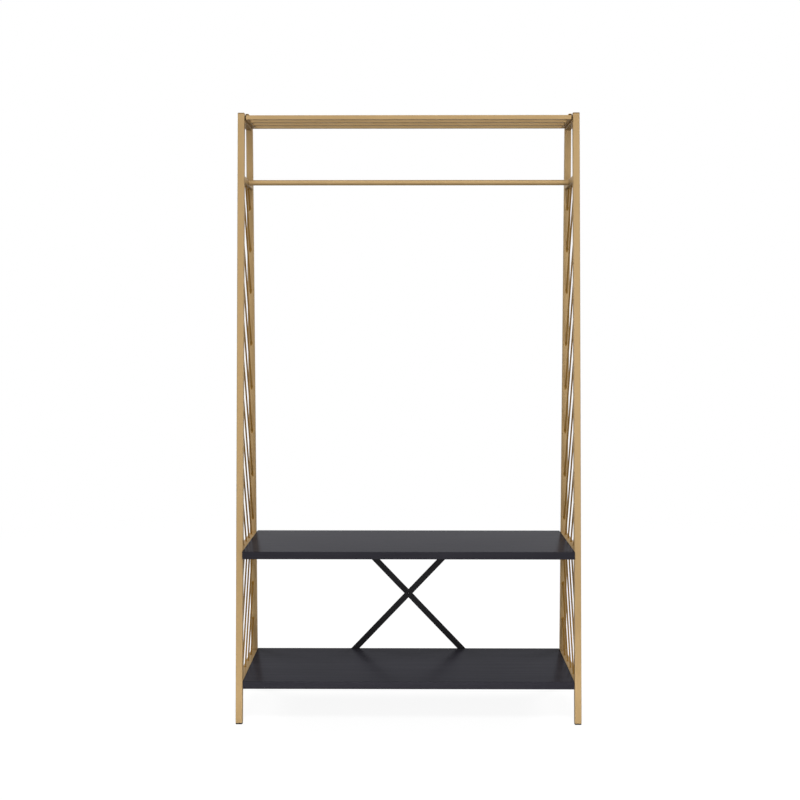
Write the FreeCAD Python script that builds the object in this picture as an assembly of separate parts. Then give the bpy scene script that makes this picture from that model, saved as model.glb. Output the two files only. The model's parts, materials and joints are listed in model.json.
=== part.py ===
"""Hall tree: two leaning lattice side frames carry two shelves, a hanging rod and a slatted top rack.

Millimetres, +Z up. The origin is on the floor, midway between the four feet.
The front faces -Y and the left side frame is at -X.
"""
import FreeCAD, Part
import math
import os

Vector = FreeCAD.Vector
X_AXIS = Vector(1, 0, 0)
Y_AXIS = Vector(0, 1, 0)
Z_AXIS = Vector(0, 0, 1)

# Side frames: the posts lean in from the floor to the top
overall_width = 1016.0
floor_depth = 406.0
top_depth = 216.0
frame_height = 1800.0

# Square tube of the posts and side rails
tube_size = 20.0
tube_wall = 1.2
tube_corner = 2.0

# Feet and post caps, both with a stem inside the tube
foot_thickness = 4.0
foot_corner = 3.5
foot_edge = 0.8
cap_rise = 4.0
cap_edge = 1.4
stem_length = 14.0
stem_clearance = 0.15

# Levels: the shelves above the floor, the hanging rod below the top of the posts
bench_top = 508.0
lower_shelf_top = 125.0
hanging_rod_drop = 193.0

# Shelves
shelf_depth = 394.0
shelf_thickness = 22.0
shelf_edge = 1.5
shelf_end_gap = 0.5

# Lattice rods, whose pitch is measured level. Upper rods that end on the bench rail stand closer
lattice_diameter = 5.0
lattice_angle = 60.0
lattice_pitch = 73.0
bench_rod_pitch = 66.0
bench_rod_count = 4
hanger_rod_pitch = 68.0
hanger_rod_count = 3

# Where the lattices start: the lowest upper rod on a rear post above the bench, the foremost lower rod
# ahead of the middle of the bench rail. Lower rods of both side frames stand off the mid-plane to -X
post_rod_rise = 50.0
lower_rod_lead = 116.0
lower_rod_offset = -2.0

# Hanging rod
hanging_rod_diameter = 16.5
hanging_rod_wall = 1.2
rod_plug_length = 16.0

# Top rack: its bars lie just below the posts' tops, and its end bars stand flush with the post caps.
# The front and rear bars run from post to post, across the ends of the end bars
rack_bar_size = 13.0
rack_bar_drop = 2.0
rack_bar_wall = 1.2
rack_bar_corner = 1.5
rack_bar_pitch = 59.0
rack_end_gap = 1.5
end_bar_width = 10.0
end_bar_height = 18.0
bar_plug_plate = 1.5
bar_plug_stem = 8.0

# Crossing bars behind the shelves, fixed just below the middle of the boards' thickness
brace_width = 19.0
brace_thickness = 2.0
brace_spread = 367.0
brace_drop = 2.0
joggle_flat = 34.0
joggle_ramp = 26.0

# Bolts from outside the side rails, and what they screw into
bolt_diameter = 6.0
bolt_hole_clearance = 0.5
bolt_head_diameter = 11.0
bolt_head_height = 3.2
bolt_socket = 4.0
bolt_reach_shelf = 13.0
bolt_reach_rod = 11.0
bolt_reach_rack = 6.0
bench_bolt_spacing = 220.0
lower_bolt_spacing = 290.0
rack_bolt_spacing = 110.0
insert_diameter = 10.0
insert_length = 16.0
nut_diameter = 9.0
nut_length = 7.0
nut_clearance = 0.3

# Screws of the crossing bars, and the rivet where they cross
screw_diameter = 4.0
screw_hole_clearance = 0.5
screw_head_diameter = 8.0
screw_head_height = 2.4
screw_socket = 2.5
screw_reach = 18.0
rivet_diameter = 5.0
rivet_head_diameter = 9.5
rivet_head_height = 1.8
rivet_bore = 1.8

# The rim of a domed head stands straight for this share of its height, and a socket goes this deep
head_rim_share = 0.3
socket_depth_share = 0.6

# Directions and levels closer than these count as the same
same_direction = 0.5
same_level = 1e-6

# Worked out from the sizes above
lean = math.atan((floor_depth - top_depth) / 2 / frame_height)
post_x = overall_width / 2 - tube_size / 2
inside_x = overall_width / 2 - tube_size
outside_x = overall_width / 2
tube_run = tube_size / math.cos(lean)
lattice_slope = math.tan(math.radians(lattice_angle))
hanging_rod_level = frame_height - hanging_rod_drop
bench_rail_low = bench_top - tube_size
lower_rail_low = lower_shelf_top - tube_size
hanger_rail_low = hanging_rod_level - tube_size / 2
top_rail_low = frame_height - tube_size
rack_bar_middle = frame_height - rack_bar_drop - rack_bar_size / 2
end_bar_low = frame_height + cap_rise - end_bar_height
end_bar_middle = end_bar_low + end_bar_height / 2
shelf_bolt_drop = tube_size / 2
bench_bolt_level = bench_top - shelf_bolt_drop
lower_bolt_level = lower_shelf_top - shelf_bolt_drop
rack_bolt_level = end_bar_low + rack_bar_wall + nut_clearance + nut_diameter / 2
rack_rows = {"front": -1.5, "front_middle": -0.5, "rear_middle": 0.5, "rear": 1.5}
outer_rows = (rack_rows["front"], rack_rows["rear"])
end_bar_reach = rack_rows["rear"] * rack_bar_pitch - rack_bar_size / 2
rack_half_width = inside_x - rack_end_gap
end_bar_x = inside_x - end_bar_width / 2
shelf_back = shelf_depth / 2
brace_screw_drop = shelf_thickness / 2 + brace_drop
brace_top = bench_top - brace_screw_drop
brace_bottom = lower_shelf_top - brace_screw_drop
brace_crossing = (brace_top + brace_bottom) / 2
brace_rise = brace_top - brace_bottom
brace_reach = math.hypot(brace_spread, brace_rise) / 2
brace_angle = math.degrees(math.atan2(brace_rise, brace_spread))

SIDES = {"left": -1, "right": 1}
ENDS = {"front": -1, "rear": 1}


def one_solid(shape):
    """The single solid that a cut or a common leaves."""
    return shape.removeSplitter().Solids[0]


def rounded_bar(width, height, corner, length):
    """Solid bar along +Z from the origin, centred on the axis, with its four long edges rounded."""
    bar = Part.makeBox(width, height, length, Vector(-width / 2, -height / 2, 0))
    if corner <= 0:
        return bar
    long_edges = [edge for edge in bar.Edges if abs(edge.tangentAt(0).z) > same_direction]
    return bar.makeFillet(corner, long_edges)


def hollow_bar(width, height, corner, wall, length):
    """Tube along +Z. A wall thicker than the corner leaves square corners inside."""
    core = rounded_bar(width - 2 * wall, height - 2 * wall, corner - wall, length)
    return rounded_bar(width, height, corner, length).cut(core)


def placed(shape, base, rotation=FreeCAD.Rotation()):
    """Copy of a shape, turned about the origin and then moved to its base point."""
    copy = shape.copy()
    copy.Placement = FreeCAD.Placement(base, rotation).multiply(shape.Placement)
    return copy


def post_axis_y(height):
    """Distance of a post's middle from the centre plane, at a height above the floor."""
    return floor_depth / 2 - height * math.tan(lean) - tube_run / 2


def post_inside_y(height):
    """Distance of a post's inner face from the centre plane, at a height above the floor."""
    return post_axis_y(height) - tube_run / 2


def slab(low, high):
    """Block wider than the object between two levels, to cut a leaning post off level."""
    size = 2 * overall_width
    return Part.makeBox(size, size, high - low, Vector(-size / 2, -size / 2, low))


def between_posts(low, high, middle_x):
    """Prism that fills one side frame between its two posts, from one level to another."""
    corners = [
        (-post_inside_y(low), low),
        (post_inside_y(low), low),
        (post_inside_y(high), high),
        (-post_inside_y(high), high),
    ]
    points = [Vector(middle_x - tube_size, y, z) for y, z in corners]
    outline = Part.makePolygon(points + points[:1])
    return Part.Face(outline).extrude(Vector(2 * tube_size, 0, 0))


def along_post(section_bar, low, high, side, end):
    """A bar leaned along a post's axis and cut off level at both ends."""
    base = Vector(side * post_x, end * post_axis_y(0), 0)
    turn = FreeCAD.Rotation(X_AXIS, math.degrees(end * lean))
    below = Vector(0, 0, -tube_size)
    leaning = placed(placed(section_bar, below), base, turn)
    return one_solid(leaning.common(slab(low, high)))


def post_length():
    """Length of tube that still covers a post after it is leaned and cut."""
    return (frame_height + 2 * tube_size) / math.cos(lean)


def post(side, end):
    """Leaning square tube, cut level above its foot and under its cap."""
    tube = hollow_bar(tube_size, tube_size, tube_corner, tube_wall, post_length())
    return along_post(tube, foot_thickness, frame_height, side, end)


def stem_bar(width, height, wall, corner, length):
    """Square-cornered bar that slides into a tube and clears the rounding inside its corners."""
    rounding = max(corner - wall, 0)
    inset = 2 * (wall + stem_clearance + rounding * (1 - math.sqrt(0.5)))
    return rounded_bar(width - inset, height - inset, 0, length)


def post_stem(low, high, side, end):
    """The part of a foot or cap that plugs into the post."""
    bar = stem_bar(tube_size, tube_size, tube_wall, tube_corner, post_length())
    return along_post(bar, low, high, side, end)


def level_edges(pad, level):
    """Edges of a pad that lie at one level."""
    return [edge for edge in pad.Edges if all(abs(v.Z - level) < same_level for v in edge.Vertexes)]


def foot(side, end):
    """Plastic foot: a pad under the post, bevelled round its sole, with a stem up the tube."""
    pad = rounded_bar(tube_size, tube_run, foot_corner, foot_thickness)
    pad = pad.makeChamfer(foot_edge, level_edges(pad, 0))
    pad = placed(pad, Vector(side * post_x, end * post_axis_y(foot_thickness), 0))
    stem = post_stem(foot_thickness, foot_thickness + stem_length, side, end)
    return one_solid(pad.fuse(stem))


def post_cap(side, end):
    """Cap on a post: a low pad bevelled round its top, with a stem down the tube."""
    pad = rounded_bar(tube_size, tube_run, tube_corner, cap_rise)
    pad = pad.makeChamfer(cap_edge, level_edges(pad, cap_rise))
    pad = placed(pad, Vector(side * post_x, end * post_axis_y(frame_height), frame_height))
    stem = post_stem(frame_height - stem_length, frame_height, side, end)
    return one_solid(pad.fuse(stem))


def bolt_places(spacing):
    """The two places of a bolt pair, either side of the centre plane."""
    return (-spacing / 2, spacing / 2)


def cross_hole(diameter, side, y, level, depth):
    """Round cutter along X, from outside a side frame inwards."""
    start = Vector(side * (outside_x + bolt_head_height), y, level)
    return Part.makeCylinder(diameter / 2, depth + bolt_head_height, start, X_AXIS * -side)


def bolt_hole(side, y, level):
    """Clearance hole through both walls of a side rail."""
    return cross_hole(bolt_diameter + bolt_hole_clearance, side, y, level, tube_size + end_bar_width / 2)


def side_rail(low, side, bolt_level, bolts_y):
    """Square tube from post to post, coped to their lean and drilled for its bolts."""
    length = floor_depth
    tube = hollow_bar(tube_size, tube_size, tube_corner, tube_wall, length)
    turn = FreeCAD.Rotation(X_AXIS, -90)
    tube = placed(tube, Vector(side * post_x, -length / 2, low + tube_size / 2), turn)
    tube = tube.common(between_posts(low, low + tube_size, side * post_x))
    for y in bolts_y:
        tube = tube.cut(bolt_hole(side, y, bolt_level))
    return one_solid(tube)


def lattice_rod(x, y, level, rise, opening):
    """Round rod through a point at the lattice angle, trimmed to the opening that it crosses.

    The rod runs up to the front where rise is 1, and down to the front where it is -1.
    """
    slant = math.radians(lattice_angle)
    direction = Vector(0, -math.cos(slant), rise * math.sin(slant))
    reach = frame_height
    start = Vector(x, y, level) - direction * reach
    rod = Part.makeCylinder(lattice_diameter / 2, 2 * reach, start, direction)
    return one_solid(rod.common(opening))


def front_post_meeting(y, level):
    """Height at which a rod that rises to the front from a point meets the front post."""
    lean_slope = math.tan(lean)
    return (y + level / lattice_slope + post_inside_y(0)) / (lean_slope + 1 / lattice_slope)


def centred_row(count, pitch):
    """Evenly spaced places about zero."""
    return [(index - (count - 1) / 2) * pitch for index in range(count)]


def upper_lattice(side):
    """Rods that rise to the front: from the bench rail, from the rear post, then to the hanger rail."""
    x = side * post_x
    opening = between_posts(bench_top, hanger_rail_low, x)
    y = post_inside_y(bench_top + post_rod_rise) + post_rod_rise / lattice_slope
    places_y = [y - (index + 1) * bench_rod_pitch for index in range(bench_rod_count)]
    while front_post_meeting(y, bench_top) < hanger_rail_low:
        places_y.append(y)
        y += lattice_pitch
    rods = [lattice_rod(x, y, bench_top, 1, opening) for y in places_y]
    for y in centred_row(hanger_rod_count, hanger_rod_pitch):
        rods.append(lattice_rod(x, y, hanger_rail_low, 1, opening))
    return Part.makeCompound(rods)


def lower_lattice(side):
    """Rods that drop to the front from under the bench rail and from the rear post."""
    x = side * post_x
    opening = between_posts(lower_shelf_top, bench_rail_low, x)
    fall = (bench_rail_low - lower_shelf_top) / lattice_slope
    last_y = post_inside_y(lower_shelf_top) - lattice_diameter + fall
    rods = []
    y = -lower_rod_lead
    while y < last_y:
        rods.append(lattice_rod(x + lower_rod_offset, y, bench_rail_low, -1, opening))
        y += lattice_pitch
    return Part.makeCompound(rods)


def hanging_rod():
    """Round tube between the hanger rails."""
    start = Vector(-inside_x, 0, hanging_rod_level)
    outer = Part.makeCylinder(hanging_rod_diameter / 2, 2 * inside_x, start, X_AXIS)
    bore = Part.makeCylinder(hanging_rod_diameter / 2 - hanging_rod_wall, 2 * inside_x, start, X_AXIS)
    return one_solid(outer.cut(bore))


def sleeve(outer_diameter, length, side, y, level, mouth_x):
    """Threaded sleeve along X, bored for a bolt, with its mouth facing out of the side frame."""
    start = Vector(side * mouth_x, y, level)
    outer = Part.makeCylinder(outer_diameter / 2, length, start, X_AXIS * -side)
    bore = Part.makeCylinder(bolt_diameter / 2, length, start, X_AXIS * -side)
    return one_solid(outer.cut(bore))


def rod_plugs():
    """Threaded plugs in both ends of the hanging rod."""
    diameter = hanging_rod_diameter - 2 * hanging_rod_wall
    return Part.makeCompound([
        sleeve(diameter, rod_plug_length, side, 0, hanging_rod_level, inside_x)
        for side in SIDES.values()
    ])


def shelf(top, spacing):
    """Board between the side frames, eased along its edges, bored for inserts and screws."""
    half_width = inside_x - shelf_end_gap
    corner = Vector(-half_width, -shelf_back, top - shelf_thickness)
    board = Part.makeBox(2 * half_width, shelf_depth, shelf_thickness, corner)
    long_edges = [edge for edge in board.Edges if abs(edge.tangentAt(0).x) > same_direction]
    board = board.makeFillet(shelf_edge, long_edges)
    for side in SIDES.values():
        for y in bolt_places(spacing):
            depth = tube_size + shelf_end_gap + insert_length
            board = board.cut(cross_hole(insert_diameter, side, y, top - shelf_bolt_drop, depth))
        start = Vector(side * brace_spread / 2, shelf_back - screw_reach, top - brace_screw_drop)
        board = board.cut(Part.makeCylinder(screw_diameter / 2, screw_reach, start, Y_AXIS))
    return one_solid(board)


def shelf_inserts(top, spacing):
    """Threaded inserts in both ends of a shelf."""
    mouth = inside_x - shelf_end_gap
    level = top - shelf_bolt_drop
    return Part.makeCompound([
        sleeve(insert_diameter, insert_length, side, y, level, mouth)
        for side in SIDES.values()
        for y in bolt_places(spacing)
    ])


def rack_bar(row):
    """Square tube of the top rack: the outer ones from post to post, the others between the end bars."""
    half_width = inside_x - end_bar_width
    if row in outer_rows:
        half_width = rack_half_width - bar_plug_plate
    bar = hollow_bar(rack_bar_size, rack_bar_size, rack_bar_corner, rack_bar_wall, 2 * half_width)
    turn = FreeCAD.Rotation(Y_AXIS, 90)
    return one_solid(placed(bar, Vector(-half_width, row * rack_bar_pitch, rack_bar_middle), turn))


def rack_end_bar(side):
    """Flat tube between the outer rack bars, bolted to the inside of a top rail."""
    bar = hollow_bar(end_bar_width, end_bar_height, rack_bar_corner, rack_bar_wall, 2 * end_bar_reach)
    turn = FreeCAD.Rotation(X_AXIS, -90)
    bar = placed(bar, Vector(side * end_bar_x, -end_bar_reach, end_bar_middle), turn)
    for y in bolt_places(rack_bolt_spacing):
        bar = bar.cut(cross_hole(nut_diameter, side, y, rack_bolt_level, tube_size + nut_length))
    return one_solid(bar)


def rack_end_plug(side, row):
    """Plug in the open end of an outer rack bar: a plate the size of the tube, with a stem inside it."""
    plate = rounded_bar(rack_bar_size, rack_bar_size, rack_bar_corner, bar_plug_plate)
    stem = stem_bar(rack_bar_size, rack_bar_size, rack_bar_wall, rack_bar_corner, bar_plug_stem)
    plug = plate.fuse(placed(stem, Vector(0, 0, bar_plug_plate)))
    end = Vector(side * rack_half_width, row * rack_bar_pitch, rack_bar_middle)
    return one_solid(placed(plug, end, FreeCAD.Rotation(Y_AXIS, -side * 90)))


def rack_end_plugs():
    """Plugs in the four ends of the two outer rack bars."""
    return Part.makeCompound([rack_end_plug(side, row) for side in SIDES.values() for row in outer_rows])


def rack_nuts():
    """Rivet nuts in the outer walls of the end bars."""
    return Part.makeCompound([
        sleeve(nut_diameter, nut_length, side, y, rack_bolt_level, inside_x)
        for side in SIDES.values()
        for y in bolt_places(rack_bolt_spacing)
    ])


def domed_head(diameter, height, base, direction):
    """Low head with a short straight rim and a crown that is part of a ball, revolved about its axis."""
    radius = diameter / 2
    rim = height * head_rim_share
    ball = (radius ** 2 + (height - rim) ** 2) / 2 / (height - rim)
    half_angle = math.asin(radius / ball) / 2
    crown = Vector(ball * math.sin(half_angle), 0, height - ball + ball * math.cos(half_angle))
    rim_top = Vector(radius, 0, rim)
    top = Vector(0, 0, height)
    sides = Part.makePolygon([top, Vector(0, 0, 0), Vector(radius, 0, 0), rim_top])
    arc = Part.Arc(rim_top, crown, top).toShape()
    profile = Part.Face(Part.Wire(sides.Edges + [arc]))
    head = profile.revolve(Vector(0, 0, 0), Z_AXIS, 360)
    return placed(head, base, FreeCAD.Rotation(Z_AXIS, direction))


def hex_socket(across_flats, depth, base, direction):
    """Six-sided cutter that starts at a base point."""
    radius = across_flats / math.sqrt(3)
    turns = [corner * math.pi / 3 for corner in range(7)]
    points = [Vector(radius * math.cos(turn), radius * math.sin(turn), 0) for turn in turns]
    cutter = Part.Face(Part.makePolygon(points)).extrude(Vector(0, 0, depth))
    return placed(cutter, base, FreeCAD.Rotation(Z_AXIS, direction))


def socket_screw(diameter, reach, head_diameter, head_height, socket, seat, direction):
    """Domed screw with a hex socket: its head sits on the seat and its shank goes the other way."""
    head = domed_head(head_diameter, head_height, seat, direction)
    floor_of_socket = seat + direction * head_height * (1 - socket_depth_share)
    head = head.cut(hex_socket(socket, head_height, floor_of_socket, direction))
    shank = Part.makeCylinder(diameter / 2, reach, seat, direction * -1)
    return one_solid(head.fuse(shank))


def side_bolts(level, places_y, reach):
    """Bolts through a pair of side rails, with their heads on the outer faces."""
    return Part.makeCompound([
        socket_screw(bolt_diameter, reach, bolt_head_diameter, bolt_head_height, bolt_socket,
                     Vector(side * outside_x, y, level), X_AXIS * side)
        for side in SIDES.values()
        for y in places_y
    ])


def brace_outline(thickness):
    """Flat bar along X with round ends, pierced for its two screws and the rivet."""
    radius = brace_width / 2
    body = Part.makeBox(2 * brace_reach, thickness, brace_width, Vector(-brace_reach, 0, -radius))
    for end in ENDS.values():
        body = body.fuse(Part.makeCylinder(radius, thickness, Vector(end * brace_reach, 0, 0), Y_AXIS))
    for end in ENDS.values():
        hole_radius = (screw_diameter + screw_hole_clearance) / 2
        body = body.cut(Part.makeCylinder(hole_radius, thickness, Vector(end * brace_reach, 0, 0), Y_AXIS))
    rivet_hole = Part.makeCylinder(rivet_diameter / 2, thickness, Vector(0, 0, 0), Y_AXIS)
    return body.cut(rivet_hole).removeSplitter()


def joggle_strip():
    """Side profile of the bar that steps over the other one, carried across its width."""
    flat = joggle_flat / 2
    foot_of_ramp = flat + joggle_ramp
    far = brace_reach + brace_width
    lower_line = [(-far, 0), (-foot_of_ramp, 0), (-flat, brace_thickness), (flat, brace_thickness),
                  (foot_of_ramp, 0), (far, 0)]
    upper_line = [(x, y + brace_thickness) for x, y in reversed(lower_line)]
    points = [Vector(x, y, -brace_width) for x, y in lower_line + upper_line]
    return Part.Face(Part.makePolygon(points + points[:1])).extrude(Vector(0, 0, 2 * brace_width))


def brace_bar(slope, steps_over):
    """One crossing bar on the shelves' back edges. One lies flat and the other steps over it."""
    if steps_over:
        bar = brace_outline(2 * brace_thickness).common(joggle_strip())
    else:
        bar = brace_outline(brace_thickness)
    turn = FreeCAD.Rotation(Y_AXIS, -slope * brace_angle)
    return one_solid(placed(bar, Vector(0, shelf_back, brace_crossing), turn))


def brace_rivet():
    """Hollow rivet through both crossing bars, with a domed head on each side."""
    front = Vector(0, shelf_back, brace_crossing)
    back = Vector(0, shelf_back + 2 * brace_thickness, brace_crossing)
    shank = Part.makeCylinder(rivet_diameter / 2, 2 * brace_thickness, front, Y_AXIS)
    heads = [
        domed_head(rivet_head_diameter, rivet_head_height, front, Y_AXIS * -1),
        domed_head(rivet_head_diameter, rivet_head_height, back, Y_AXIS),
    ]
    end = Vector(0, shelf_back - rivet_head_height, brace_crossing)
    bore = Part.makeCylinder(rivet_bore / 2, 2 * (brace_thickness + rivet_head_height), end, Y_AXIS)
    return one_solid(shank.multiFuse(heads).cut(bore))


def brace_screws():
    """Screws through the ends of the crossing bars into the shelves' back edges."""
    return Part.makeCompound([
        socket_screw(screw_diameter, screw_reach + brace_thickness, screw_head_diameter,
                     screw_head_height, screw_socket,
                     Vector(side * brace_spread / 2, shelf_back + brace_thickness, level), Y_AXIS)
        for side in SIDES.values()
        for level in (brace_bottom, brace_top)
    ])


def side_frame(name, side):
    """Every piece of one side frame, by node name."""
    rack_bolts = bolt_places(rack_bolt_spacing)
    bench_bolts = bolt_places(bench_bolt_spacing)
    lower_bolts = bolt_places(lower_bolt_spacing)
    pieces = {
        name + "_top_rail": side_rail(top_rail_low, side, rack_bolt_level, rack_bolts),
        name + "_hanger_rail": side_rail(hanger_rail_low, side, hanging_rod_level, [0]),
        name + "_bench_rail": side_rail(bench_rail_low, side, bench_bolt_level, bench_bolts),
        name + "_lower_rail": side_rail(lower_rail_low, side, lower_bolt_level, lower_bolts),
        name + "_upper_lattice": upper_lattice(side),
        name + "_lower_lattice": lower_lattice(side),
        name + "_rack_end_bar": rack_end_bar(side),
    }
    for end_name, end in ENDS.items():
        corner = name + "_" + end_name
        pieces[corner + "_post"] = post(side, end)
        pieces[corner + "_post_cap"] = post_cap(side, end)
        pieces[corner + "_foot"] = foot(side, end)
    return pieces


def hall_tree():
    """Every piece of the hall tree, by node name."""
    pieces = {}
    for name, side in SIDES.items():
        pieces.update(side_frame(name, side))
    for row_name, row in rack_rows.items():
        pieces[row_name + "_rack_bar"] = rack_bar(row)
    shelf_reach = tube_size + shelf_end_gap + bolt_reach_shelf
    bench_bolts = bolt_places(bench_bolt_spacing)
    lower_bolts = bolt_places(lower_bolt_spacing)
    rack_bolts = bolt_places(rack_bolt_spacing)
    pieces.update({
        "bench_shelf": shelf(bench_top, bench_bolt_spacing),
        "lower_shelf": shelf(lower_shelf_top, lower_bolt_spacing),
        "hanging_rod": hanging_rod(),
        "hanging_rod_plugs": rod_plugs(),
        "rack_end_plugs": rack_end_plugs(),
        "rack_nuts": rack_nuts(),
        "bench_inserts": shelf_inserts(bench_top, bench_bolt_spacing),
        "lower_shelf_inserts": shelf_inserts(lower_shelf_top, lower_bolt_spacing),
        "bench_bolts": side_bolts(bench_bolt_level, bench_bolts, shelf_reach),
        "lower_shelf_bolts": side_bolts(lower_bolt_level, lower_bolts, shelf_reach),
        "hanging_rod_bolts": side_bolts(hanging_rod_level, [0], tube_size + bolt_reach_rod),
        "rack_bolts": side_bolts(rack_bolt_level, rack_bolts, tube_size + bolt_reach_rack),
        "flat_brace_bar": brace_bar(1, False),
        "stepped_brace_bar": brace_bar(-1, True),
        "brace_rivet": brace_rivet(),
        "brace_screws": brace_screws(),
    })
    return pieces


def main():
    """Write each piece to its own STEP file."""
    os.makedirs("parts", exist_ok=True)
    for name, shape in hall_tree().items():
        shape.exportStep("parts/" + name + ".step")


main()
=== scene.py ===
"""Looks of the hall tree: leaning gold frames with lattice rods, charcoal shelves, black crossing bars.

Metres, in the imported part's own frame: +Z up, the front faces -Y, and the floor is at zero.
"""
import json
import math
import bpy
import numpy as np
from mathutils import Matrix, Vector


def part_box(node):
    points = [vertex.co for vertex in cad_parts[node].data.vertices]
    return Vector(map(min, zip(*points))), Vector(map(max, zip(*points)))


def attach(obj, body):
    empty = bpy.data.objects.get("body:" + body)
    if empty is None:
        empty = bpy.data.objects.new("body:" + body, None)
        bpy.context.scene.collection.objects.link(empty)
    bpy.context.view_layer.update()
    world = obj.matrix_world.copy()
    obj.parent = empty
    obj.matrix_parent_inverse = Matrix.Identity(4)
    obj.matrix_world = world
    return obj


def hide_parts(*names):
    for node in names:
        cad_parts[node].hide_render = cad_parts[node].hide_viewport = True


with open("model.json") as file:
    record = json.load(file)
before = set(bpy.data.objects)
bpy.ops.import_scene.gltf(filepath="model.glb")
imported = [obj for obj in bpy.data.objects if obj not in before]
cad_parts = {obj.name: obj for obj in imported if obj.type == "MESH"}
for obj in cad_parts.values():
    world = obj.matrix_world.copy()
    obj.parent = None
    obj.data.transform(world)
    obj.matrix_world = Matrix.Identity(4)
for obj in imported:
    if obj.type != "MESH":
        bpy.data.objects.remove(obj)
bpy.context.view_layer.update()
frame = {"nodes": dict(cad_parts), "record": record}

SIDES = {"left": -1, "right": 1}
ENDS = {"front": -1, "rear": 1}


def corners(node):
    """Lowest and highest corner of a node, as arrays."""
    low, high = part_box(node)
    return np.array(low), np.array(high)


# Sizes read from the frame
post_low, post_high = corners("left_front_post")
foot_low, foot_high = corners("left_front_foot")
cap_low, cap_high = corners("left_front_post_cap")
lattice_low, lattice_high = corners("left_upper_lattice")
under_low, under_high = corners("left_lower_lattice")
tube = post_high[0] - post_low[0]
frame_x = -(post_low[0] + post_high[0]) / 2
post_bottom = post_low[2]
post_top = post_high[2]
lean_slope = (cap_high[1] - foot_high[1]) / (post_top - post_bottom)
inner_at_floor = -foot_high[1] + lean_slope * post_bottom
rod_radius = (lattice_high[0] - lattice_low[0]) / 2
lower_offset = (under_low[0] + under_high[0]) / 2 + frame_x

# Lattice: its angle, its spacing measured level, and where its rods start
lattice_angle = math.radians(60)
lattice_pitch = 0.073
bench_pitch = 0.066
bench_rods = 4
hanger_pitch = 0.068
hanger_rods = 3
post_rod_rise = 0.050
lower_lead = 0.116

# Welds: the collar round a rod's end, whose rings lie at shares of its length, and the bead along a joint
collar_rise = 0.0016
collar_length = 0.0045
collar_shares = np.array([0, 0.12, 0.3, 0.55, 0.8, 1.0])
collar_lobes = 3
collar_unevenness = 0.3
bead_radius = 0.0016
bead_ripple = 0.0021
bead_ripple_share = 0.1
bead_rings_per_ripple = 4
bead_blunt_end = 1.02

# Moulded caps and feet, with the heights of a crown and a waist as shares, and the easing of the boards
cap_corner = 0.002
cap_round = 0.0016
cap_crown = 0.0004
crown_shares = np.array([0.6, 0.9, 1.0])
crown_insets = [0.004, 0.007, 0.0085]
foot_corner = 0.0035
foot_round = 0.0009
waist_shares = np.array([0.55, 0.7, 0.85, 1.0])
waist_insets = [0, 0.0004, 0.0001, 0.0001]
stem_inset = 0.0017
least_corner_share = 0.2
board_round = 0.0015
board_end_ease = 0.0006

# Shading: edges that turn by more than the crease stay sharp, and points beside each arc hold the flats
crease = math.radians(50)
flat_hold_share = 0.3

# Noise of the finishes: the range that most of it falls in, where its two tones lie, and the grain's detail
noise_low = 0.3
noise_high = 0.7
first_tone_place = 0.35
second_tone_place = 0.65
grain_detail = 3.0

# Photograph: its square frame and the camera fitted to it
photo_pixels = 800
focal_pixels = 1297.3
middle_row = 355.9
camera_distance = 3.9792
camera_height = 1.1868
camera_pitch = 0.02751
camera_yaw = 0.00655
sensor = 36.0

# Lights: place, the point that it faces, width and height, and watts
lights = {
    "front_light": ((0, -5.2, 1.2), (0, 0, 1.0), (3.0, 2.4), 104),
    "high_light": ((0, -4.5, 6.0), (0, 0, 1.0), (3.0, 1.8), 190),
    "top_light": ((0, -1.2, 4.2), (0, 0, 0.9), (2.5, 1.5), 4),
    "right_light": ((1.6, -3.8, 1.3), (0, 0, 1.0), (1.2, 2.4), 16),
    "low_light": ((0, -0.55, 0.04), (0, 0, 0.06), (1.4, 0.06), 0.9),
    "left_rear_light": ((-3.5, 2.8, 2.7), (0, 0, 0.9), (2.0, 1.4), 90),
    "right_rear_light": ((3.5, 2.8, 2.7), (0, 0, 0.9), (2.0, 1.4), 90),
}


def linear(red, green, blue):
    """A screen colour of 0 to 255 as the linear colour that a shader takes."""
    values = np.array([red, green, blue]) / 255
    curve = np.where(values <= 0.04045, values / 12.92, ((values + 0.055) / 1.055) ** 2.4)
    return (*curve.tolist(), 1.0)


def add(tree, kind, inputs=None, **settings):
    """A new shader node with its settings, its constant inputs and its wired inputs."""
    made = tree.nodes.new(kind)
    for key, value in settings.items():
        setattr(made, key, value)
    for key, value in (inputs or {}).items():
        if isinstance(value, bpy.types.NodeSocket):
            tree.links.new(value, made.inputs[key])
        else:
            made.inputs[key].default_value = value
    return made


def ramp(tree, factor, stops):
    """Colour that follows a factor through a few stops."""
    made = add(tree, "ShaderNodeValToRGB", {"Fac": factor})
    elements = made.color_ramp.elements
    for element, (place, colour) in zip(elements, stops):
        element.position = place
        element.color = colour
    return made.outputs["Color"]


def noise(tree, scale, detail=2.0, stretch=(1, 1, 1)):
    """Noise of a given count per metre on Object coordinates, stretched along the axes."""
    coords = add(tree, "ShaderNodeTexCoord").outputs["Object"]
    mapped = add(tree, "ShaderNodeMapping", {"Vector": coords, "Scale": stretch}).outputs["Vector"]
    pattern = {"Vector": mapped, "Scale": scale, "Detail": detail}
    return add(tree, "ShaderNodeTexNoise", pattern).outputs["Fac"]


def between(tree, factor, low, high):
    """A factor of noise spread over a range of values."""
    spread = {"Value": factor, "From Min": noise_low, "From Max": noise_high, "To Min": low, "To Max": high}
    return add(tree, "ShaderNodeMapRange", spread).outputs["Result"]


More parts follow.
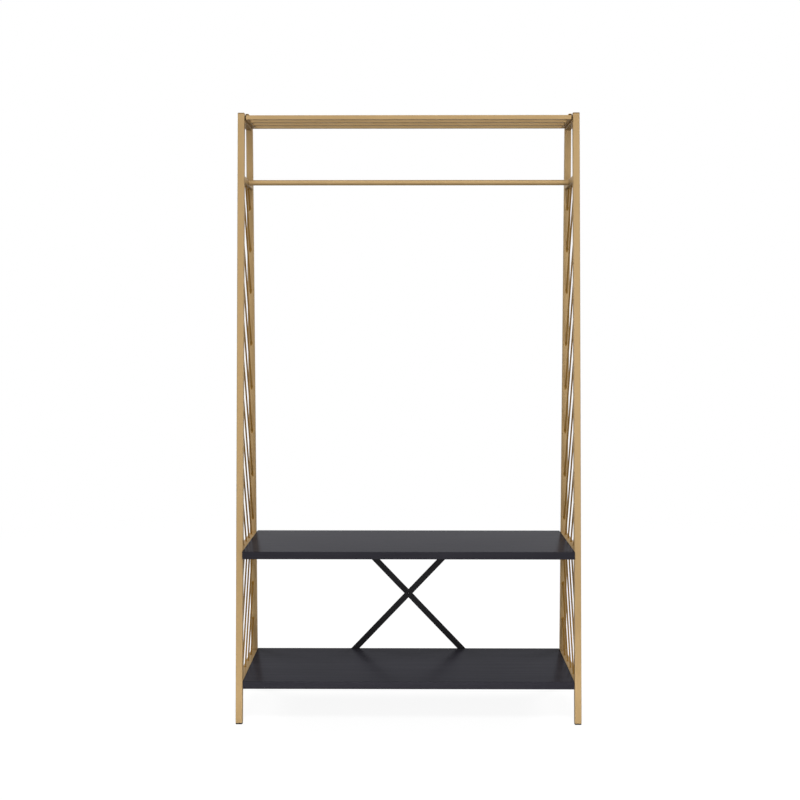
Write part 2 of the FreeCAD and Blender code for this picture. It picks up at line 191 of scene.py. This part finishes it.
def finish(name, constants, tones, cloud, rough, grain, depth, stretch=(1, 1, 1)):
    """A painted or moulded finish from noise: two cloudy tones, uneven roughness and a fine raised grain.

    Cloud and grain are counts per metre, and depth is the height of the grain in metres.
    """
    material = bpy.data.materials.new(name)
    material.use_nodes = True
    tree = material.node_tree
    shader = tree.nodes["Principled BSDF"]
    for key, value in constants.items():
        shader.inputs[key].default_value = value
    clouds = noise(tree, cloud, stretch=stretch)
    stops = [(first_tone_place, linear(*tones[0])), (second_tone_place, linear(*tones[1]))]
    colour = ramp(tree, clouds, stops)
    tree.links.new(colour, shader.inputs["Base Color"])
    tree.links.new(between(tree, clouds, *rough), shader.inputs["Roughness"])
    raised = noise(tree, grain, detail=grain_detail, stretch=stretch)
    bump = add(tree, "ShaderNodeBump", {"Height": raised, "Strength": 1.0, "Distance": depth})
    tree.links.new(bump.outputs["Normal"], shader.inputs["Normal"])
    return material


finishes = {
    "gold_metal": finish("satin_gold_paint", {"Metallic": 0.11, "IOR": 1.06},
                         tones=[(185, 155, 110), (190, 160, 115)], cloud=9, rough=(0.34, 0.42),
                         grain=700, depth=0.000001),
    # The rods' gold is the frame's gold paint in a darker, deeper tone: painted shade on the rods
    "gold_rod_painted_shade": finish("gold_paint_painted_shade", {"Metallic": 0.1, "IOR": 1.06},
                       tones=[(158, 118, 58), (164, 124, 64)], cloud=9, rough=(0.34, 0.42),
                       grain=700, depth=0.000001),
    "gold_plastic": finish("gold_moulding", {"Metallic": 0.1, "IOR": 1.15},
                           tones=[(140, 112, 76), (147, 119, 82)], cloud=30, rough=(0.42, 0.5),
                           grain=900, depth=0.000004),
    "charcoal_board": finish("charcoal_lacquer",
                             {"Metallic": 0.03, "IOR": 1.03, "Specular Tint": (0.75, 0.8, 1.0, 1.0)},
                             tones=[(52, 51, 57), (56, 55, 61)], cloud=60, rough=(0.22, 0.27),
                             grain=240, depth=0.000001, stretch=(0.05, 1, 1)),
    "black_metal": finish("black_powder_coat", {"IOR": 1.2},
                          tones=[(25, 24, 27), (29, 28, 31)], cloud=25, rough=(0.45, 0.55),
                          grain=1500, depth=0.00001),
    "foot_plastic": finish("foot_moulding", {"IOR": 1.2},
                           tones=[(40, 36, 33), (46, 42, 38)], cloud=30, rough=(0.55, 0.65),
                           grain=1500, depth=0.00001),
    "zinc_steel": finish("zinc_plate", {"Metallic": 1.0},
                         tones=[(176, 178, 180), (190, 191, 190)], cloud=60, rough=(0.3, 0.4),
                         grain=1200, depth=0.000005),
}


def coat_frame():
    """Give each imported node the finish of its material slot."""
    for row in frame["record"]["subparts"]:
        node = frame["nodes"][row["node"]]
        node.data.materials.clear()
        node.data.materials.append(finishes[row["material_slot"]])


def facing_out(rings):
    """The stack of rings, turned round if its faces enclose a negative volume.

    The volume is the sum of the tetrahedra from the stack's middle to each quad between neighbouring rings.
    """
    around = rings - rings.mean(axis=(0, 1))
    here = around[:-1]
    above = around[1:]
    beside = np.roll(here, -1, axis=1)
    across = np.roll(above, -1, axis=1)
    volume = np.sum(here * (np.cross(beside, across) + np.cross(across, above)))
    return rings if volume > 0 else rings[:, ::-1]


def shell_faces(count, around, first):
    """Quads between neighbouring rings, numbered from the first point, and a flat face at each end."""
    ring = np.arange(count - 1)[:, None] * around + first
    point = np.arange(around)
    beside = (point + 1) % around
    above = ring + around
    quads = [ring + point, ring + beside, above + beside, above + point]
    faces = np.stack(quads, axis=-1).reshape(-1, 4).tolist()
    faces.append((first + point[::-1]).tolist())
    faces.append((first + (count - 1) * around + point).tolist())
    return faces


def piece(name, slot, shells, replaced=(), coat=None):
    """A new piece from closed shells, each a stack of rings of points.

    It has the finish of its slot, or another coat where one is named.
    """
    points = []
    faces = []
    first = 0
    for rings in shells:
        rings = facing_out(rings)
        faces += shell_faces(rings.shape[0], rings.shape[1], first)
        points.append(rings.reshape(-1, 3))
        first += len(points[-1])
    mesh = bpy.data.meshes.new(name)
    mesh.from_pydata(np.concatenate(points).tolist(), [], faces)
    mesh.shade_smooth()
    mesh.set_sharp_from_angle(angle=crease)
    mesh.materials.append(finishes[coat or slot])
    made = bpy.data.objects.new(name, mesh)
    bpy.context.scene.collection.objects.link(made)
    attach(made, "root")
    if replaced:
        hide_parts(*replaced)


def rounded_section(half_width, half_height, radius, steps=4):
    """Points round a rectangle: at each corner a quarter circle about the corner's centre.

    A further point just before and after each arc keeps the flats flat where the shading is smooth.
    """
    signs = np.array([[1, 1], [-1, 1], [-1, -1], [1, -1]])
    centres = signs * np.array([half_width - radius, half_height - radius])
    turn = np.arange(4)[:, None] * math.pi / 2 + np.linspace(0, math.pi / 2, steps + 1)
    arcs = centres[:, None] + radius * np.stack([np.cos(turn), np.sin(turn)], axis=-1)
    ahead = radius * flat_hold_share * np.stack([-np.sin(turn), np.cos(turn)], axis=-1)
    with_ends = [arcs[:, :1] - ahead[:, :1], arcs, arcs[:, -1:] + ahead[:, -1:]]
    return np.concatenate(with_ends, axis=1).reshape(-1, 2)


def lattice_rods(base_y, base_z, rise, low, high, x, around=16):
    """Round rods through base points at the lattice angle, cut to the opening between rails and posts.

    A point is base + radius * (cos a * across + sin a * square) + t * along, where t runs between the
    planes of the two rails and the two posts' inner faces. Near an end at distance s the radius swells into
    a weld collar by the collar's rise * (1 - s / its length) squared, a little uneven round the rod.
    A rise of 1 means that the rods go up to the front, and -1 that they go down.
    """
    along = np.array([0, -math.cos(lattice_angle), rise * math.sin(lattice_angle)])
    across = np.array([1.0, 0, 0])
    square = np.cross(along, across)
    turn = np.linspace(0, 2 * math.pi, around, endpoint=False)
    spokes = np.cos(turn)[:, None] * across + np.sin(turn)[:, None] * square
    lobes = np.sin(collar_lobes * turn + np.arange(len(base_y))[:, None])
    uneven = 1 + collar_unevenness * lobes
    swell = collar_rise * (1 - collar_shares[:, None]) ** 2 * uneven[:, None]
    base = np.stack([np.full_like(base_y, x), base_y, np.full_like(base_y, base_z)], axis=-1)
    start = base[:, None, None] + (rod_radius + swell)[..., None] * spokes
    normals = np.array([[0, 0, -1], [0, 0, 1], [0, -1, lean_slope], [0, 1, lean_slope]])
    limits = np.array([-low, high, inner_at_floor, inner_at_floor])
    speed = normals @ along
    reach = (limits - start @ normals.T) / speed
    first = np.max(np.where(speed < 0, reach, -np.inf), axis=-1)
    last = np.min(np.where(speed > 0, reach, np.inf), axis=-1)
    inward = collar_length * collar_shares[:, None]
    lower_end = start + (first + inward)[..., None] * along
    upper_end = start + (last - inward)[..., None] * along
    return np.concatenate([lower_end, upper_end[:, ::-1]], axis=1)


def centred_row(count, pitch):
    """Evenly spaced places about zero."""
    return (np.arange(count) - (count - 1) / 2) * pitch


def upper_lattice(side):
    """Rods that rise to the front: from the bench rail, from the rear post, then to the hanger rail."""
    low, high = lattice_low[2], lattice_high[2]
    slope = math.tan(lattice_angle)
    first_y = inner_at_floor - lean_slope * (low + post_rod_rise) + post_rod_rise / slope
    last_y = lean_slope * high - inner_at_floor + (high - low) / slope
    bench_y = first_y - np.arange(1, bench_rods + 1) * bench_pitch
    base_y = np.concatenate([bench_y, np.arange(first_y, last_y, lattice_pitch)])
    from_below = lattice_rods(base_y, low, 1, low, high, side * frame_x)
    hanger_y = centred_row(hanger_rods, hanger_pitch)
    from_hanger = lattice_rods(hanger_y, high, 1, low, high, side * frame_x)
    return [*from_below, *from_hanger]


def lower_lattice(side):
    """Rods that drop to the front from under the bench rail and from the rear post."""
    low, high = under_low[2], under_high[2]
    rear_y = inner_at_floor - lean_slope * low
    last_y = rear_y - 2 * rod_radius + (high - low) / math.tan(lattice_angle)
    base_y = np.arange(-lower_lead, last_y, lattice_pitch)
    x = side * frame_x + lower_offset
    return list(lattice_rods(base_y, high, -1, low, high, x))


def lattices():
    """The four lattices, with a weld collar at each end of each rod."""
    for name, side in SIDES.items():
        # The rods take the darker gold coat, which is painted shade
        piece(name + "_upper_lattice_rods", "gold_metal", upper_lattice(side), [name + "_upper_lattice"],
              coat="gold_rod_painted_shade")
        piece(name + "_lower_lattice_rods", "gold_metal", lower_lattice(side), [name + "_lower_lattice"],
              coat="gold_rod_painted_shade")


def bead(start, stop, around=8):
    """Weld bead: a circle carried along the line from one point to another.

    With s from -1 to 1 along it, the radius follows the fourth root of a little over 1 - s squared, which
    nearly closes it at its ends, and ripples by a small share of itself as a sine.
    """
    start = np.array(start)
    stop = np.array(stop)
    length = np.linalg.norm(stop - start)
    along = (stop - start) / length
    across = np.roll(along, 1)
    square = np.cross(along, across)
    share = np.linspace(-1, 1, bead_rings_per_ripple * round(length / bead_ripple) + 2)
    ripple = 1 + bead_ripple_share * np.sin(math.pi * share * length / bead_ripple)
    radius = bead_radius * np.sqrt(bead_blunt_end - share ** 2) ** 0.5 * ripple
    turn = np.linspace(0, 2 * math.pi, around, endpoint=False)[:, None]
    ring = np.cos(turn) * across + np.sin(turn) * square
    spine = (start + stop) / 2 + share[:, None] * (length / 2 - bead_radius) * along
    return spine[:, None] + radius[:, None, None] * ring


def frame_welds():
    """Beads above and below each side rail where it meets the posts, but none level with the posts' tops."""
    for name in SIDES:
        beads = []
        for rail in ("top_rail", "hanger_rail", "bench_rail", "lower_rail"):
            low, high = corners(name + "_" + rail)
            for z in (low[2], high[2]):
                for end in ENDS.values():
                    y = end * (inner_at_floor - lean_slope * z)
                    if z < post_top - bead_radius:
                        beads.append(bead((low[0], y, z), (high[0], y, z)))
        piece(name + "_frame_welds", "gold_metal", beads)


def rack_welds():
    """Beads inside the joints of the top rack: up and under the ends of its middle bars and end bars."""
    bars_top = corners("front_rack_bar")[1][2]
    beads = []
    for name, side in SIDES.items():
        low, high = corners(name + "_rack_end_bar")
        inner_x = high[0] if side < 0 else low[0]
        for row in ("front_middle", "rear_middle"):
            bar_low, bar_high = corners(row + "_rack_bar")
            for y in (bar_low[1], bar_high[1]):
                beads.append(bead((inner_x, y, bar_low[2]), (inner_x, y, bar_high[2])))
            beads.append(bead((inner_x, bar_low[1], bar_low[2]), (inner_x, bar_high[1], bar_low[2])))
        for y in (low[1], high[1]):
            beads.append(bead((inner_x, y, low[2]), (inner_x, y, bars_top)))
            beads.append(bead((low[0], y, low[2]), (high[0], y, low[2])))
    piece("rack_welds", "gold_metal", beads)


def loft(levels, insets, middles_y, x, half_width, half_depth, corner):
    """Rounded rectangle carried up through levels, drawn in by an inset and moved along Y at each level."""
    stack = []
    for level, inset, middle_y in zip(levels, insets, middles_y):
        radius = max(corner - inset, corner * least_corner_share)
        outline = rounded_section(half_width - inset, half_depth - inset, radius)
        stack.append(np.column_stack([outline + [x, middle_y], np.full(len(outline), level)]))
    return np.stack(stack)


def quarter_round(radius, steps=5):
    """Heights and insets of a rounded rim, upright to level: radius * sine and radius * (1 - cosine)."""
    turn = np.linspace(0, math.pi / 2, steps)
    return radius * np.sin(turn), radius * (1 - np.cos(turn))


def post_cap(side, end):
    """Moulded cap: a stem that leans with the tube, a flange on its rim, and a rounded, crowned top."""
    half_depth = (cap_high[1] - cap_low[1]) / 2
    middle_y = (cap_low[1] + cap_high[1]) / 2
    rise, inset = quarter_round(cap_round)
    top = cap_high[2] - cap_crown
    stem = [cap_low[2], post_top, post_top]
    levels = np.concatenate([stem, top - cap_round + rise, top + cap_crown * crown_shares])
    insets = np.concatenate([[stem_inset, stem_inset, 0], inset, crown_insets])
    lean = np.where(levels < post_top, lean_slope * (levels - post_top), 0)
    return loft(levels, insets, -end * (middle_y + lean), side * frame_x, tube / 2, half_depth, cap_corner)


def foot(side, end):
    """Moulded foot: a sole with a rounded rim, a pad with a waist, and a stem that leans with the tube."""
    half_depth = (foot_high[1] - foot_low[1]) / 2
    middle_y = (foot_low[1] + foot_high[1]) / 2
    rise, inset = quarter_round(foot_round)
    top = post_bottom
    levels = np.concatenate([foot_round - rise[::-1], top * waist_shares, [top, foot_high[2]]])
    insets = np.concatenate([inset[::-1], waist_insets, [stem_inset, stem_inset]])
    lean = np.where(levels > top, lean_slope * (levels - top), 0)
    return loft(levels, insets, -end * (middle_y + lean), side * frame_x, tube / 2, half_depth, foot_corner)


def mouldings():
    """Caps on the posts and feet under them."""
    for name, side in SIDES.items():
        for end_name, end in ENDS.items():
            corner = name + "_" + end_name
            piece(corner + "_moulded_cap", "gold_plastic", [post_cap(side, end)], [corner + "_post_cap"])
            piece(corner + "_moulded_foot", "foot_plastic", [foot(side, end)], [corner + "_foot"])


def board(name, node):
    """Shelf board: a rounded rectangle in Y and Z carried along X, and drawn in a little at both ends."""
    low, high = corners(node)
    half = (high - low) / 2
    middle = (low + high) / 2
    rise, inset = quarter_round(board_end_ease)
    places = np.concatenate([low[0] + board_end_ease - rise[::-1], high[0] - board_end_ease + rise])
    insets = np.concatenate([inset[::-1], inset])
    stack = []
    for x, drawn in zip(places, insets):
        outline = rounded_section(half[1] - drawn, half[2] - drawn, board_round, steps=6) + middle[1:]
        stack.append(np.column_stack([np.full(len(outline), x), outline]))
    piece(name, "charcoal_board", [np.stack(stack)], [node])


def seen_rays(tree):
    """1 for the rays that show the background: from the camera, off gloss and through glass."""
    rays = add(tree, "ShaderNodeLightPath").outputs
    camera_or_gloss = {0: rays["Is Camera Ray"], 1: rays["Is Glossy Ray"]}
    either = add(tree, "ShaderNodeMath", camera_or_gloss, operation="MAXIMUM")
    seen = {0: either.outputs[0], 1: rays["Is Transmission Ray"]}
    return add(tree, "ShaderNodeMath", seen, operation="MAXIMUM").outputs[0]


def white_surroundings():
    """World that is white to the rays that show it and dark to the others, so that it adds no light."""
    world = bpy.data.worlds.new("white_surroundings")
    bpy.context.scene.world = world
    world.use_nodes = True
    tree = world.node_tree
    tree.nodes.clear()
    white = add(tree, "ShaderNodeBackground", {"Color": (1, 1, 1, 1), "Strength": seen_rays(tree)})
    add(tree, "ShaderNodeOutputWorld", {"Surface": white.outputs[0]})


def floor_finish(grey, lift, clear, far):
    """Floor that looks pale: matt grey that takes shadows, lifted by a glow for the rays that show it.

    From the clear radius to the far one it fades to plain white.
    """
    material = bpy.data.materials.new("pale_floor")
    material.use_nodes = True
    tree = material.node_tree
    tree.nodes.clear()
    seen = seen_rays(tree)
    matt = add(tree, "ShaderNodeBsdfDiffuse", {"Color": (grey, grey, grey, 1)})
    strength = add(tree, "ShaderNodeMath", {0: seen, 1: lift}, operation="MULTIPLY")
    glow = add(tree, "ShaderNodeEmission", {"Strength": strength.outputs[0]})
    near = add(tree, "ShaderNodeAddShader", {0: matt.outputs[0], 1: glow.outputs[0]})
    white = add(tree, "ShaderNodeEmission", {"Strength": seen})
    coords = add(tree, "ShaderNodeTexCoord").outputs["Object"]
    radius = add(tree, "ShaderNodeVectorMath", {0: coords}, operation="LENGTH").outputs["Value"]
    fade = add(tree, "ShaderNodeMapRange", {"Value": radius, "From Min": clear, "From Max": far},
               interpolation_type="SMOOTHSTEP")
    mixed = add(tree, "ShaderNodeMixShader",
                {0: fade.outputs["Result"], 1: near.outputs[0], 2: white.outputs[0]})
    add(tree, "ShaderNodeOutputMaterial", {"Surface": mixed.outputs[0]})
    return material


def floor():
    """Round floor: a rim of points at reach times cosine and sine, flat at height zero."""
    reach = 12.0
    rim_points = 64
    around = np.linspace(0, 2 * math.pi, rim_points, endpoint=False)
    rim = np.stack([np.cos(around), np.sin(around), np.zeros_like(around)], axis=1) * reach
    mesh = bpy.data.meshes.new("floor")
    mesh.from_pydata(rim.tolist(), [], [list(range(len(rim)))])
    made = bpy.data.objects.new("floor", mesh)
    bpy.context.scene.collection.objects.link(made)
    made.data.materials.append(floor_finish(grey=0.2, lift=0.91, clear=1.2, far=4.0))


def soft_light(name, place, aim, size, power):
    """Rectangular area light of a width and height at a place, facing a point."""
    lamp = bpy.data.lights.new(name, "AREA")
    lamp.shape = "RECTANGLE"
    lamp.size, lamp.size_y = size
    lamp.energy = power
    made = bpy.data.objects.new(name, lamp)
    made.location = place
    direction = Vector(aim) - Vector(place)
    made.rotation_euler = direction.to_track_quat("-Z", "Y").to_euler()
    bpy.context.scene.collection.objects.link(made)


def camera():
    """The photograph's camera: in front, at two thirds of the part's height, tipped slightly down."""
    lens = bpy.data.cameras.new("photo_camera")
    lens.sensor_width = sensor
    lens.lens = focal_pixels / photo_pixels * sensor
    lens.shift_y = (middle_row - photo_pixels / 2) / photo_pixels
    made = bpy.data.objects.new("photo_camera", lens)
    made.location = (0, -camera_distance, camera_height)
    made.rotation_euler = (math.pi / 2 - camera_pitch, 0, camera_yaw)
    bpy.context.scene.collection.objects.link(made)
    bpy.context.scene.camera = made


def studio():
    """Floor, lights and camera."""
    bpy.context.scene.view_settings.view_transform = "Standard"
    white_surroundings()
    floor()
    for name, (place, aim, size, power) in lights.items():
        soft_light(name, place, aim, size, power)
    camera()


coat_frame()
lattices()
frame_welds()
rack_welds()
mouldings()
board("bench_board", "bench_shelf")
board("lower_board", "lower_shelf")
studio()
